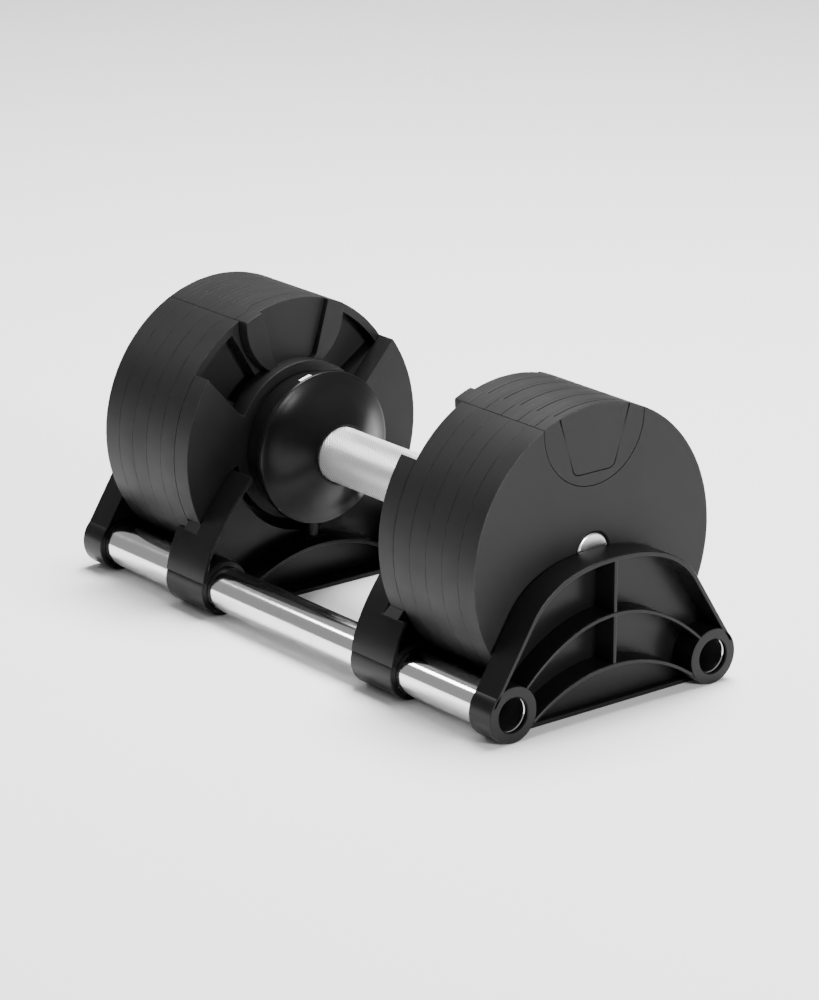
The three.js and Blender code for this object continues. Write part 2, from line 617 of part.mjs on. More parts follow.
function innerBracketSolid() {
  const [x0, x1] = [INNER_X, INNER_END_X];
  const upper = INNER_WEB_X;
  const web = upper - WEB_T;
  const floor = -SHAFT_Z;
  const shoulderZ = ARM_RISE - RAIL_DROP;
  const side = (inset) => new THREE.QuadraticBezierCurve(
    new THREE.Vector2(RAIL_Y + BOSS_R - 0.6 - inset, FOOT_RISE - 0.5 - RAIL_DROP),
    new THREE.Vector2(PLATE_R - inset, ARM_RISE + 2 - RAIL_DROP),
    new THREE.Vector2(SADDLE_R - 1.5 - inset * 0.6, SADDLE_TIP_Z - inset),
  ).getPoints(5).map((p) => [p.x, p.y]);
  const mirror = (points) => points.map(([y, z]) => [-y, z]);
  const outside = side(0);
  const arm = [...outside, ...side(RIB_T).reverse()];
  const aboveShoulder = block(upper, x1 + 1, -PLATE_R - BOSS_R, PLATE_R + BOSS_R, shoulderZ, 0);
  const middle = side(RIB_T / 2);
  const footHalf = RAIL_Y - RIB_T;
  const full = [...middle, ...mirror(middle).reverse(), [-footHalf, floor], [footHalf, floor]];
  const webSolid = slab(polygon(full), web, upper).subtract(bar(SADDLE_R, x0, x1, 32));
  const parts = [webSolid, archRib(LOW_RIB, RIB_T - 0.4, x0, upper), ...bosses(x0, x1)];
  parts.push(block(x0, upper, -footHalf, footHalf, floor, floor + RIB_T));
  for (const points of [arm, mirror(arm).reverse()]) {
    parts.push(slab(polygon(points), x0, x1).subtract(aboveShoulder));
  }
  for (const sign of [-1, 1]) parts.push(earLedge(web, x1 - 6, sign));
  return sum(parts).subtract(railBores(x0 - 1, x1 + 1));
}

// Sloping ledge of the inner bracket that an ear of the end plate sits on.
function earLedge(from, to, side) {
  const low = onRim(EAR_LOW_DEG);
  const heel = onRim(EAR_HEEL_DEG, END_DISC_R + 2);
  const along = new THREE.Vector2(low[0] - heel[0], low[1] - heel[1]).normalize();
  const down = [-Math.abs(along.y), -Math.abs(along.x)];
  const near = REST_GAP;
  const far = REST_GAP + LEDGE_T;
  const at = ([y, z], reach, offset) =>
    [y + along.x * reach + down[0] * offset, z + along.y * reach + down[1] * offset];
  const outline = [at(heel, 5, near), at(heel, 5, far), at(low, 7, far), at(low, 7, near)]
    .map(([y, z]) => [side * y, z]);
  if (side < 0) outline.reverse();
  return slab(polygon(outline), from, to);
}

function plateRestSolid() {
  const from = INNER_END_X + REST_GAP;
  const to = OUTER_X - REST_GAP;
  const floor = -SHAFT_Z;
  const top = REST_RISE - RAIL_DROP;
  const footHalf = RAIL_Y - REST_INSET;
  const topHalf = footHalf - REST_SLOPE;
  const outline = [[-footHalf, floor], [footHalf, floor], [topHalf, top], [-topHalf, top]];
  return slab(polygon(outline), from, to)
    .subtract(bar(PLATE_R + CARRY_GAP, from - 1, to + 1, RIM_FACETS))
    .subtract(railBores(from - 1, to + 1));
}

function makeCradle() {
  const railEnd = OUTER_X + OUTER_DEPTH - ROD_STOP - REST_GAP;
  for (const [name, side] of [['cradle_rod_front', -1], ['cradle_rod_rear', 1]]) {
    const rail = tube(RAIL_R, RAIL_BORE_R, -railEnd, railEnd, 20)
      .translate([0, side * RAIL_Y, -RAIL_DROP]);
    single(name, rail, CHROME);
  }
  pair('outer_bracket', outerBracketSolid(), GLOSS_PLASTIC);
  pair('inner_bracket', innerBracketSolid(), GLOSS_PLASTIC);
  pair('plate_rest', plateRestSolid(), GLOSS_PLASTIC);
}

makeCradle();
makeHandle();
makeEndPlates();
makeLock();
makePlates();

export default product;
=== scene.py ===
"""Looks of the adjustable dumbbell in its two-rod cradle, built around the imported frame."""

import json
import math

import bpy
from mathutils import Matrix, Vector


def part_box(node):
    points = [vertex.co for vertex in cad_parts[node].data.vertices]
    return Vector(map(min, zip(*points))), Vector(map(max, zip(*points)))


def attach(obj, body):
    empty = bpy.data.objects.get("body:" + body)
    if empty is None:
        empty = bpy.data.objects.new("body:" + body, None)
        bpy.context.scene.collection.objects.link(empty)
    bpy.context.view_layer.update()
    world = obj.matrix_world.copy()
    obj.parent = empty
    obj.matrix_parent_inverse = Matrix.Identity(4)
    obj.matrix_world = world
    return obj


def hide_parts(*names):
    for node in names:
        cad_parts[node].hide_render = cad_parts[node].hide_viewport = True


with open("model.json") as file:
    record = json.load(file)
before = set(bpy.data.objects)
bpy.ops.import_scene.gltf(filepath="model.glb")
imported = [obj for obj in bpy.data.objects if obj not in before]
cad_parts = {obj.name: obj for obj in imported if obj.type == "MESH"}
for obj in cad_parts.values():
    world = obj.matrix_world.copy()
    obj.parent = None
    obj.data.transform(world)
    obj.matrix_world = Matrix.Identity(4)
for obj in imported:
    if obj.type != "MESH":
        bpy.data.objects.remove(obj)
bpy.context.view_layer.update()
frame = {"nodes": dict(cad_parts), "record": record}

bl_info = {
    "name": "Adjustable dumbbell",
    "version": (1, 0, 0),
    "blender": (4, 5, 0),
    "location": "View3D > Sidebar > Dumbbell",
    "description": "Models and finishes the visible pieces of an adjustable dumbbell",
    "category": "Object",
}

MM = 0.001


# ---------------------------------------------------------------- sizes chosen here
PLATES = 5
FIT = 0.3 * MM  # room between two fitted pieces
TONGUE_STEP = 3 * MM  # how far a tongue reaches into the next key
TONGUE_FOOT_Z = 48 * MM  # foot of a tongue over the shaft axis
TONGUE_FOOT = 14.5 * MM  # half the width of a tongue at its foot
TONGUE_TOP = 26.5 * MM  # half its width at the top
TONGUE_CORNER = 4 * MM
TONGUE_OVER = 6 * MM  # how far a cutter for a tongue's recess stands over the rim
KEY_OVER = 5 * MM  # the same for a key's notch
SEAT_DEPTH = 1.4 * MM  # seat in the outermost key's face
POCKET_EDGE = 5 * MM  # between a pocket and the plate's rim
POCKET_R = 47 * MM  # inner radius of a pocket
POCKET_FROM, POCKET_TO = 31, 56  # degrees from straight up
POCKET_DEPTH = 9.5 * MM
EAR_ROOT, EAR_HEEL, EAR_FOOT = 62, 98, 116  # degrees from straight up
RAIL_BORE_R = 10.5 * MM  # bore of the cradle rods and mouth of the outer bosses
RAIL_HOLE = 1.5 * MM  # how much wider than a rod its hole in a web is
WEB_T = 3 * MM  # thickness of a bracket's web
LOW_RIB_TOP = -61.3 * MM  # from the shaft axis
MID_RIB_TOP = -30.5 * MM


# ---------------------------------------------------------------- sizes read from the frame
def low(node):
    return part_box(node)[0]


def high(node):
    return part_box(node)[1]


AXIS_Z = (low("cam_sleeve").z + high("cam_sleeve").z) / 2
PLATE_R = high("weight_plate_right_2").y
PLATE_X = [low(f"weight_plate_right_{i + 1}").x for i in range(PLATES)]
PLATE_T = high("weight_plate_right_1").x - PLATE_X[0]
PITCH = PLATE_X[1] - PLATE_X[0]
KEY_R = high("plate_key_right_1").y
KEY_FOOT = low("plate_key_right_1").z - AXIS_Z
KEY_STEP = high("plate_key_right_1").x - TONGUE_STEP - PLATE_X[0] - PLATE_T
GRIP_R = high("grip_tube").y
GRIP_END = high("grip_tube").x
ROD_R = high("selector_rod_right").y
RAIL_R = (high("cradle_rod_rear").y - low("cradle_rod_rear").y) / 2
RAIL_Y = (high("cradle_rod_rear").y + low("cradle_rod_rear").y) / 2
RAIL_Z = (high("cradle_rod_rear").z + low("cradle_rod_rear").z) / 2 - AXIS_Z
BOSS_R = high("outer_bracket_right").y - RAIL_Y
FLOOR_Z = -AXIS_Z


# ---------------------------------------------------------------- settings
def length(name, description, default, **limits):
    return bpy.props.FloatProperty(
        name=name, description=description, default=default, subtype="DISTANCE", unit="LENGTH",
        precision=5, min=0.0, **limits)


def colour(name, description, default):
    return bpy.props.FloatVectorProperty(
        name=name, description=description, default=default, subtype="COLOR", size=4,
        min=0.0, max=1.0)


class PlateSettings(bpy.types.PropertyGroup):
    """Edges and joints of the stacked plates."""

    rim_round: length("Rim rounding", "Rounding of a plate's rim edges", 0.0002)
    key_round: length("Key rounding", "Rounding of a key's edges", 0.0002)
    closer: length("Closer", "How much nearer a plate stands to the next one", 0.00015)
    joint: length("Joint", "Gap round a key in its notch", 0.00035)
    bore_chamfer: length("Bore chamfer", "Chamfer at the mouth of a plate's bore", 0.0008)


class MouldSettings(bpy.types.PropertyGroup):
    """Walls of the moulded brackets."""

    wall: length("Wall", "Thickness of an arch flange", 0.0028)
    rib: length("Rib", "Thickness of an inner rib", 0.0024)
    edge: length("Edge rounding", "Rounding of moulded edges", 0.0005)


class SteelSettings(bpy.types.PropertyGroup):
    """Handle and rods."""

    knurl_pitch: length("Knurl pitch", "Distance between two knurled grooves", 0.0012)
    knurl_depth: length("Knurl depth", "Depth of a knurled groove", 0.00022)
    end_chamfer: length("End chamfer", "Chamfer at the end of a rod", 0.001)


class FinishSettings(bpy.types.PropertyGroup):
    """Colours of the finishes."""

    coating: colour(
        "Coating", "Satin black coating of the steel plates", (0.0075, 0.0072, 0.0075, 1))
    plastic: colour("Plastic", "Black of the moulded plastic", (0.0042, 0.0042, 0.0046, 1))
    steel: colour("Steel", "Bright turned steel", (0.74, 0.74, 0.75, 1))
    chrome: colour("Chrome", "Polished plating of the cradle rods", (0.86, 0.86, 0.87, 1))
    mark: colour("Mark", "White ink of the index bar on each dial", (0.85, 0.85, 0.83, 1))


GROUPS = {
    "dumbbell_plates": PlateSettings,
    "dumbbell_moulds": MouldSettings,
    "dumbbell_steel": SteelSettings,
    "dumbbell_finishes": FinishSettings,
}


# ---------------------------------------------------------------- modelling helpers
def deselect():
    active = bpy.context.view_layer.objects.active
    if active is not None and active.mode != "OBJECT":
        bpy.ops.object.mode_set(mode="OBJECT")
    bpy.ops.object.select_all(action="DESELECT")


def pick(piece):
    deselect()
    piece.select_set(True)
    bpy.context.view_layer.objects.active = piece


def edit_all(piece):
    pick(piece)
    bpy.ops.object.mode_set(mode="EDIT")
    bpy.ops.mesh.select_all(action="SELECT")


def leave_edit():
    bpy.ops.object.mode_set(mode="OBJECT")


def merge_and_face_out():
    bpy.ops.mesh.select_all(action="SELECT")
    bpy.ops.mesh.remove_doubles(threshold=1e-6)
    bpy.ops.mesh.normals_make_consistent(inside=False)


def start_line(name, points):
    """A new object in edit mode whose mesh is a line of edges through points."""
    deselect()
    bpy.ops.mesh.primitive_plane_add(size=MM, location=(0, 0, 0))
    piece = bpy.context.object
    piece.name = piece.data.name = name
    bpy.ops.object.mode_set(mode="EDIT")
    bpy.ops.mesh.select_all(action="SELECT")
    bpy.ops.mesh.merge(type="CENTER")
    bpy.ops.transform.translate(value=points[0])
    for start, end in zip(points, points[1:]):
        bpy.ops.mesh.extrude_region_move(TRANSFORM_OT_translate={"value": end - start})
    bpy.ops.mesh.select_all(action="SELECT")
    return piece


def turned(name, profile, centre=(0.0, 0.0), steps=96, closed=True):
    """A ring or disc turned about a line along X through (y, z): profile of (radius, x)."""
    y, z = centre
    points = [Vector((x, y, AXIS_Z + z + r)) for r, x in profile]
    if closed:
        points.append(points[0].copy())
    piece = start_line(name, points)
    bpy.ops.mesh.remove_doubles(threshold=1e-7)
    bpy.ops.mesh.spin(
        steps=steps, angle=2 * math.pi, center=(0, y, AXIS_Z + z), axis=(1, 0, 0))
    merge_and_face_out()
    leave_edit()
    return piece


def prism(name, outline, x0, x1):
    """A closed outline of (y, z) points, made thick along X."""
    piece = start_line(name, [Vector((x0, y, AXIS_Z + z)) for y, z in outline])
    bpy.ops.mesh.edge_face_add()
    bpy.ops.mesh.extrude_region_move(TRANSFORM_OT_translate={"value": (x1 - x0, 0, 0)})
    merge_and_face_out()
    leave_edit()
    return piece


def apply_modifier(piece, modifier):
    pick(piece)
    bpy.ops.object.modifier_apply(modifier=modifier.name)


def bevel(piece, width, segments=2, angle=30):
    modifier = piece.modifiers.new("Rounding", "BEVEL")
    modifier.width = width
    modifier.segments = segments
    modifier.limit_method = "ANGLE"
    modifier.angle_limit = math.radians(angle)
    apply_modifier(piece, modifier)
    return piece


def carve(piece, *tools):
    for tool in tools:
        modifier = piece.modifiers.new("Cut", "BOOLEAN")
        modifier.operation = "DIFFERENCE"
        modifier.solver = "EXACT"
        modifier.object = tool
        apply_modifier(piece, modifier)
        bpy.data.objects.remove(tool)
    return piece


def join(name, *shells):
    pick(shells[0])
    for shell in shells[1:]:
        shell.select_set(True)
    bpy.ops.object.join()
    shells[0].name = shells[0].data.name = name
    return shells[0]


def copied(piece, name, shift=0.0):
    pick(piece)
    bpy.ops.object.duplicate()
    twin = bpy.context.object
    twin.name = twin.data.name = name
    if shift:
        edit_all(twin)
        bpy.ops.transform.translate(value=(shift, 0, 0))
        leave_edit()
    return twin


def mirrored(piece, name):
    twin = copied(piece, name)
    edit_all(twin)
    bpy.ops.transform.resize(value=(-1, 1, 1), center_override=(0, 0, 0))
    bpy.ops.mesh.normals_make_consistent(inside=False)
    leave_edit()
    return twin


def settle(piece, material, body, nodes=(), angle=32):
    """Gives a finished piece its material, its shading, its body and the nodes it stands for."""
    piece.data.materials.clear()
    piece.data.materials.append(material)
    pick(piece)
    bpy.ops.object.shade_smooth_by_angle(angle=math.radians(angle))
    even = piece.modifiers.new("Even shading", "WEIGHTED_NORMAL")
    even.keep_sharp = True
    apply_modifier(piece, even)
    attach(piece, body)
    if nodes:
        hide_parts(*nodes)


def settle_pair(piece, name, material, body, node):
    """Settles a right-hand piece and its mirror image. The texts may hold {side}."""
    twin = mirrored(piece, name.format(side="left"))
    piece.name = piece.data.name = name.format(side="right")
    for side, each in (("left", twin), ("right", piece)):
        nodes = [node.format(side=side)] if node else []
        settle(each, material, body.format(side=side), nodes)


# ---------------------------------------------------------------- outlines, (y, z) from the shaft
def polar(radius, degrees):
    """A point at an angle from straight up, positive to the rear."""
    turn = math.radians(degrees)
    return (radius * math.sin(turn), radius * math.cos(turn))


def arc(radius, start, end, steps, centre=(0.0, 0.0)):
    points = [polar(radius, start + (end - start) * i / steps) for i in range(steps + 1)]
    return [(centre[0] + y, centre[1] + z) for y, z in points]


def bezier(points, steps):
    """Points of a quadratic curve from the first point to the third."""
    (y0, z0), (y1, z1), (y2, z2) = points
    line = []
    for i in range(steps + 1):
        t = i / steps
        a, b, c = (1 - t) ** 2, 2 * t * (1 - t), t * t
        line.append((a * y0 + b * y1 + c * y2, a * z0 + b * z1 + c * z2))
    return line


def flipped(points):
    return [(-y, z) for y, z in points]


def arch(crown, control, shoulder, feet=(), steps=18):
    half = [*feet, *bezier([shoulder, control, (0, crown)], steps)]
    return half + flipped(half[:-1])[::-1]


def band(top, thickness):
    return top + [(y, z - thickness) for y, z in reversed(top)]


def key_outline(radius, rim=None):
    """A U whose top follows the plates' rim, or stands over it when rim is None."""
    centre_z = KEY_FOOT + KEY_R
    bottom = arc(radius, -90, -270, 28, (0, centre_z))
    if rim is None:
        return bottom + [(radius, PLATE_R + KEY_OVER), (-radius, PLATE_R + KEY_OVER)]
    turn = math.degrees(math.asin(radius / rim))
    return bottom + arc(rim, turn, -turn, 20)


def tongue_outline(room=0.0, rim=None):
    """A trapezoid with rounded lower corners, wider towards the rim.

    With no rim it is a cutter that stands over the plates. It reaches its full width higher up
    than the tongue does, so near the rim a recess is narrower than the tongue that fills it.
    """
    slope = (TONGUE_TOP - TONGUE_FOOT) / (high("weight_plate_right_1").y - TONGUE_FOOT_Z)
    foot_z = TONGUE_FOOT_Z - room
    foot = TONGUE_FOOT + room
    side_z = foot_z + TONGUE_CORNER
    side_y = foot + slope * TONGUE_CORNER
    lower = bezier([(-side_y, side_z), (-foot, foot_z), (-foot + TONGUE_CORNER, foot_z)], 6)
    lower += flipped(lower)[::-1]
    reach = rim if rim else PLATE_R + TONGUE_OVER
    top_y = TONGUE_TOP + room
    top_z = math.sqrt(reach ** 2 - top_y ** 2)
    turn = math.degrees(math.asin(top_y / reach))
    return lower + [(top_y, top_z)] + arc(reach, turn, -turn, 16)[1:]


# ---------------------------------------------------------------- shader expressions
class Wire:
    """An output socket of a node tree. Arithmetic on it adds Math nodes."""

    def __init__(self, tree, socket):
        self.tree = tree
        self.socket = socket

    def node(self, kind, inputs=None, output=0, stops=None, **settings):
        made = self.tree.nodes.new(kind)
        for name, value in settings.items():
            setattr(made, name, value)
        if stops:
            ramp = made.color_ramp
            while len(ramp.elements) < len(stops):
                ramp.elements.new(0.5)
            for element, (position, shade) in zip(ramp.elements, stops):
                element.position = position
                element.color = (shade, shade, shade, 1)
        for key, value in (inputs or {}).items():
            if isinstance(value, Wire):
                self.tree.links.new(value.socket, made.inputs[key])
            else:
                made.inputs[key].default_value = value
        return Wire(self.tree, made.outputs[output])

    def maths(self, operation, *values, **settings):
        return self.node("ShaderNodeMath", dict(enumerate(values)), operation=operation, **settings)

    def __add__(self, other):
        return self.maths("ADD", self, other)

    __radd__ = __add__

    def __sub__(self, other):
        return self.maths("SUBTRACT", self, other)

    def __rsub__(self, other):
        return self.maths("SUBTRACT", other, self)

    def __mul__(self, other):
        return self.maths("MULTIPLY", self, other)

    __rmul__ = __mul__

    def __truediv__(self, other):
        return self.maths("DIVIDE", self, other)

    def __pow__(self, other):
        return self.maths("POWER", self, other)

    def __abs__(self):
        return self.maths("ABSOLUTE", self)

    def noise(self, scale, detail=3.0, roughness=0.5):
        inputs = {"Vector": self, "Scale": scale, "Detail": detail, "Roughness": roughness}
        return self.node("ShaderNodeTexNoise", inputs)

    def stretched(self, scale):
        return self.node("ShaderNodeMapping", {"Vector": self, "Scale": scale})

    def rises(self, start, end):
        """0 below start, 1 above end and smooth between them."""
        inputs = {"Value": self, "From Min": start, "From Max": end}
        return self.node("ShaderNodeMapRange", inputs, interpolation_type="SMOOTHSTEP")

    def blend(self, first, second):
        """A colour that goes from first to second as this goes from 0 to 1."""
        inputs = {"Factor": self, 6: first, 7: second}
        return self.node("ShaderNodeMix", inputs, output=2, data_type="RGBA")

    def bump(self, strength, distance, over=None):
        inputs = {"Height": self, "Strength": strength, "Distance": distance}
        if over is not None:
            inputs["Normal"] = over
        return self.node("ShaderNodeBump", inputs)


def new_material(name, **constants):
    """An empty material: its shader's sockets and a wire with the piece's own coordinates."""
    material = bpy.data.materials.new(name)
    material.use_nodes = True
    tree = material.node_tree
    sockets = tree.nodes["Principled BSDF"].inputs
    for key, value in constants.items():
        sockets[key.replace("_", " ")].default_value = value
    place = Wire(tree, tree.nodes.new("ShaderNodeTexCoord").outputs["Object"])
    return material, sockets, place


def feed(sockets, **wires):
    for key, wire in wires.items():
        wire.tree.links.new(wire.socket, sockets[key.replace("_", " ")])


def split(place):
    x = place.node("ShaderNodeSeparateXYZ", {0: place}, 0)
    y = place.node("ShaderNodeSeparateXYZ", {0: place}, 1)
    z = place.node("ShaderNodeSeparateXYZ", {0: place}, 2)
    return x, y, z


def lighter(rgba, factor):
    return tuple(min(1.0, c * factor) for c in rgba[:3]) + (1.0,)


def finishes():
    return bpy.context.scene.dumbbell_finishes


def kept(name, make):
    """The material of that name, made the first time it is asked for."""
    return bpy.data.materials.get(name) or make(name)


def coated_steel():
    """Satin powder coat: fine grain, faint clouding and slightly rubbed rim edges."""

    def make(name):
        base = tuple(finishes().coating)
        material, sockets, place = new_material(name, Metallic=0.0, Coat_Roughness=0.35)
        sockets["Specular IOR Level"].default_value = 0.22
        x, y, z = split(place)
        height = z - AXIS_Z
        radius = (y * y + height * height) ** 0.5
        grain = place.noise(2600, 2.0)
        cloud = place.noise(22, 4.0, 0.6)
        along = abs(x) - PLATE_X[0]
        phase = along.maths("PINGPONG", along, PITCH / 2)
        near_face = 1 - phase.rises(0.15 * MM, 0.8 * MM)
        near_rim = radius.rises(PLATE_R - 1.6 * MM, PLATE_R - 0.3 * MM)
        rubbed = near_face * near_rim * place.noise(160, 3.0).rises(0.35, 0.75)
        smudge = cloud.rises(0.35, 0.7)
        shade = (smudge * 0.55 + grain * 0.45).blend(lighter(base, 0.82), lighter(base, 1.18))
        feed(sockets, Base_Color=(rubbed * 0.7).blend(shade, lighter(base, 3.2)),
             Roughness=0.47 + 0.09 * smudge + 0.05 * grain - 0.1 * rubbed,
             Normal=grain.bump(0.16, 0.12 * MM, cloud.bump(0.08, 0.4 * MM)))
        return material

    return kept("satin_coated_steel", make)


def moulded_plastic():
    """Glossy moulded plastic: faint orange peel, flow clouds and fine scuffs."""

    def make(name):
        base = tuple(finishes().plastic)
        material, sockets, place = new_material(name, Metallic=0.0, Coat_Roughness=0.12)
        sockets["Specular IOR Level"].default_value = 0.18
        peel = place.noise(420, 2.0)
        flow = place.noise(14, 3.0, 0.55)
        scuffs = place.stretched((60, 900, 900)).noise(1.0, 5.0, 0.7).rises(0.62, 0.78)
        shade = flow.blend(lighter(base, 0.8), lighter(base, 1.35))
        feed(sockets, Base_Color=(scuffs * 0.3).blend(shade, lighter(base, 2.6)),
             Roughness=0.25 + 0.09 * flow + 0.12 * scuffs, Normal=peel.bump(0.08, 0.2 * MM))
        return material

    return kept("moulded_black_plastic", make)


def chrome_plate():
    """Polished plating with faint draw lines and a trace of handling marks."""

    def make(name):
        base = tuple(finishes().chrome)
        material, sockets, place = new_material(name, Metallic=1.0)
        lines = place.stretched((6, 1400, 1400)).noise(1.0, 3.0)
        marks = place.noise(40, 5.0, 0.65).rises(0.5, 0.8)
        feed(sockets, Base_Color=marks.blend(base, lighter(base, 0.86)),
             Roughness=0.09 + 0.05 * lines + 0.1 * marks, Normal=lines.bump(0.03, 0.1 * MM))
        return material

    return kept("chrome_plating", make)


def bright_steel():
    """Turned bright steel with rings left by the tool."""

    def make(name):
        base = tuple(finishes().steel)
        material, sockets, place = new_material(name, Metallic=1.0)
        x, y, z = split(place)
        height = z - AXIS_Z
        radius = (y * y + height * height) ** 0.5
        rings = (radius + abs(x)).maths("SINE", (radius + abs(x)) * (2 * math.pi / (0.35 * MM)))
        haze = place.noise(60, 4.0, 0.6)
        feed(sockets, Base_Color=haze.blend(lighter(base, 0.85), lighter(base, 1.12)),
             Roughness=0.22 + 0.1 * haze, Normal=rings.bump(0.1, 0.03 * MM))
        return material

    return kept("turned_bright_steel", make)


def knurled_steel():
    """Satin steel cut by two crossing sets of helical grooves, with painted shade in the grooves.
    """

    def make(name):
        base = tuple(finishes().steel)
        steel = bpy.context.scene.dumbbell_steel
        material, sockets, place = new_material(name, Metallic=1.0)
        x, y, z = split(place)
        turn = y.maths("ARCTAN2", y, z - AXIS_Z)
        grooves = round(2 * math.pi * GRIP_R / (steel.knurl_pitch * math.sqrt(2)))
        round_phase = turn * grooves
        along_phase = x * (2 * math.pi / (steel.knurl_pitch * math.sqrt(2)))
        right_cut = abs(x.maths("SINE", (round_phase + along_phase) * 0.5))
        left_cut = abs(x.maths("SINE", (round_phase - along_phase) * 0.5))
        diamonds = x.maths("MINIMUM", right_cut, left_cut)
        hand_worn = place.noise(35, 3.0)
        depth = diamonds.rises(0.05, 0.75)
        # Painted shade: the base colour is much darker in the grooves than on the diamond tops,
        # added to the bump relief
        shade = depth.blend(lighter(base, 0.42), lighter(base, 1.25))
        feed(sockets, Base_Color=(hand_worn * 0.35).blend(shade, lighter(base, 1.1)),
             Roughness=0.4 - 0.1 * depth + 0.08 * hand_worn,
             Normal=depth.bump(0.75, steel.knurl_depth))
        return material

    return kept("knurled_satin_steel", make)


def bearing_plastic():
    """Natural bearing plastic with a dull, slightly waxy surface."""

    def make(name):
        material, sockets, place = new_material(name, Metallic=0.0)
        cloud = place.noise(90, 4.0)
        feed(sockets, Base_Color=cloud.blend((0.62, 0.58, 0.48, 1), (0.76, 0.73, 0.64, 1)),
             Roughness=0.42 + 0.12 * cloud, Normal=cloud.bump(0.1, 0.1 * MM))
        return material

    return kept("natural_bearing_plastic", make)


def white_ink():
    """Printed ink, slightly worn through at its grain."""

    def make(name):
        base = tuple(finishes().mark)
        material, sockets, place = new_material(name, Metallic=0.0)
        speck = place.noise(1500, 3.0)
        feed(sockets, Base_Color=speck.rises(0.2, 0.5).blend(lighter(base, 0.8), base),
             Roughness=0.45 + 0.1 * speck, Normal=speck.bump(0.1, 0.03 * MM))
        return material

    return kept("white_index_ink", make)


SLOT_FINISHES = {
    "coated_steel": coated_steel,
    "key_steel": coated_steel,
    "chrome": chrome_plate,
    "knurled_steel": knurled_steel,
    "bright_steel": bright_steel,
    "spring_steel": bright_steel,
    "gloss_black_plastic": moulded_plastic,
    "bearing_plastic": bearing_plastic,
}


# ---------------------------------------------------------------- plates, keys and end plates
def plate_body(name, x0, outermost=False):
    plates = bpy.context.scene.dumbbell_plates
    x1 = x0 + PLATE_T
    bore = ROD_R + 0.5 * MM
    chamfer = plates.bore_chamfer
    round_ = plates.rim_round
    step = round_ * (1 - math.sqrt(0.5))
    if not outermost:
        x1 += plates.closer
    disc = turned(name, [
        (bore + chamfer, x0), (PLATE_R * 0.5, x0), (PLATE_R - round_, x0),
        (PLATE_R - step, x0 + step), (PLATE_R, x0 + round_), (PLATE_R, x1 - round_),
        (PLATE_R - step, x1 - step), (PLATE_R - round_, x1), (PLATE_R * 0.5, x1),
        (bore + chamfer, x1), (bore, x1 - chamfer), (bore, x0 + chamfer),
    ], steps=120)
    notch = prism("notch", key_outline(KEY_R + plates.joint), x0 - MM, x1 + MM)
    return carve(disc, notch)


def pocket_tool(x0, side):
    """Cuts the pocket between the tower and an ear. side is 1 for the rear and -1 for the front."""
    start, end = POCKET_FROM * side, POCKET_TO * side
    outline = arc(PLATE_R - POCKET_EDGE, start, end, 10) + arc(POCKET_R, end, start, 8)
    return prism("pocket", outline, x0 - MM, x0 + POCKET_DEPTH)


def plate_key(name, x0, outermost):
    plates = bpy.context.scene.dumbbell_plates
    x1 = x0 + PLATE_T
    rim = PLATE_R - 0.05 * MM
    face = x1 if outermost else x1 + KEY_STEP
    body = prism(name, key_outline(KEY_R, rim), x0 + KEY_STEP, face)
    tongue_from = face - SEAT_DEPTH if outermost else face
    recess = prism("recess", tongue_outline(plates.joint), x0, x0 + KEY_STEP + TONGUE_STEP + FIT)
    body = carve(body, recess)
    if outermost:
        seat = prism("seat", tongue_outline(plates.joint), tongue_from, face + MM)
        body = carve(body, seat)
    body = bevel(body, plates.key_round, 1, 50)
    tongue_to = face if outermost else face + TONGUE_STEP
    tongue = prism("tongue", tongue_outline(0, rim), tongue_from, tongue_to)
    return join(name, body, bevel(tongue, plates.key_round, 1, 50))


class DUMBBELL_OT_plates(bpy.types.Operator):
    """Model the round plates and the keys that lock each one to the next"""

    bl_idname = "dumbbell.plates"
    bl_label = "Plates and keys"

    def execute(self, context):
        first = carve(plate_body("plate", PLATE_X[0]), pocket_tool(PLATE_X[0], -1),
                      pocket_tool(PLATE_X[0], 1))
        plain = plate_body("plain_plate", PLATE_X[1])
        last_plate = plate_body("last_plate", PLATE_X[-1], True)
        inner_key = plate_key("key", PLATE_X[0], False)
        outer_key = plate_key("outer_key", PLATE_X[-1], True)
        for i in range(PLATES):
            number = i + 1
            last = number == PLATES
            plate = first if i == 0 else last_plate
            if 0 < i < PLATES - 1:
                plate = copied(plain, "plate", PLATE_X[i] - PLATE_X[1])
            key = outer_key if last else copied(inner_key, "key", PLATE_X[i] - PLATE_X[0])
            body = f"plate_{{side}}_{number}"
            settle_pair(plate, f"steel_plate_{{side}}_{number}", coated_steel(), body,
                        f"weight_plate_{{side}}_{number}")
            settle_pair(key, f"steel_key_{{side}}_{number}", coated_steel(), body,
                        f"plate_key_{{side}}_{number}")
        bpy.data.objects.remove(plain)
        bpy.data.objects.remove(inner_key)
        return {"FINISHED"}


